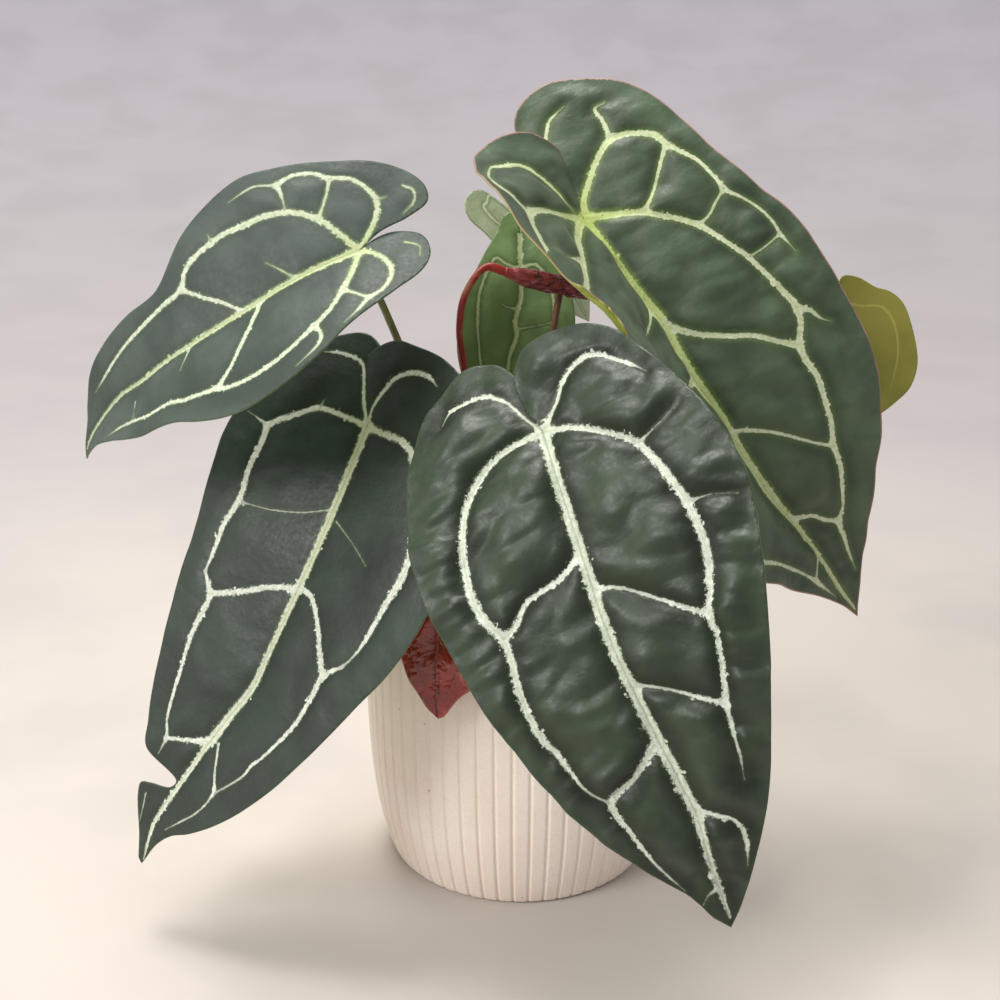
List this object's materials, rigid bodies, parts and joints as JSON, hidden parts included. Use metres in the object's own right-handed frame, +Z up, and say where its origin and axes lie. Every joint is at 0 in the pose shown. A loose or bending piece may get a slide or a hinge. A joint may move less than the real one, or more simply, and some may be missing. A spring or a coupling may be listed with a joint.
{
  "type": "potted anthurium crystallinum plant",
  "caption": "Potted aroid house plant with hanging heart-shaped, pale-veined velvety leaves on thin stalks, in a fluted round ceramic pot that stands on its flat base.",
  "frame": {"origin": "middle of the pot's flat base, on the surface that it stands on", "axes": "+Z up, the plant's front, with the largest hanging leaf, faces -Y, and +X is to the right seen from the front"},
  "size_m": [0.372, 0.2721, 0.3429],
  "materials": {
    "pot_ceramic": "matte",
    "potting_mix": "matte",
    "crown": "matte",
    "dry_sheath": "matte",
    "dark_leaf": "satin",
    "grey_leaf": "satin",
    "pale_leaf": "satin",
    "olive_leaf": "satin",
    "red_leaf": "gloss",
    "green_stalk": "satin",
    "red_stalk": "satin"
  },
  "bodies": {
    "root": {"pot": "pot_ceramic", "potting_mix": "potting_mix", "crown_stem": "crown", "cataphyll_front": "dry_sheath", "cataphyll_left": "dry_sheath", "cataphyll_back": "dry_sheath", "front_leaf_blade": "dark_leaf", "front_leaf_petiole": "green_stalk", "lower_left_leaf_blade": "dark_leaf", "lower_left_leaf_petiole": "green_stalk", "upper_left_leaf_blade": "grey_leaf", "upper_left_leaf_petiole": "green_stalk", "upper_right_leaf_blade": "dark_leaf", "upper_right_leaf_petiole": "red_stalk", "back_centre_leaf_blade": "pale_leaf", "back_centre_leaf_petiole": "green_stalk", "back_left_leaf_blade": "pale_leaf", "back_left_leaf_petiole": "green_stalk", "back_right_leaf_blade": "olive_leaf", "back_right_leaf_petiole": "green_stalk", "young_leaf_blade": "red_leaf", "young_leaf_petiole": "red_stalk", "rolled_leaf_blade": "red_leaf", "rolled_leaf_petiole": "red_stalk"}
  },
  "joints": []
}
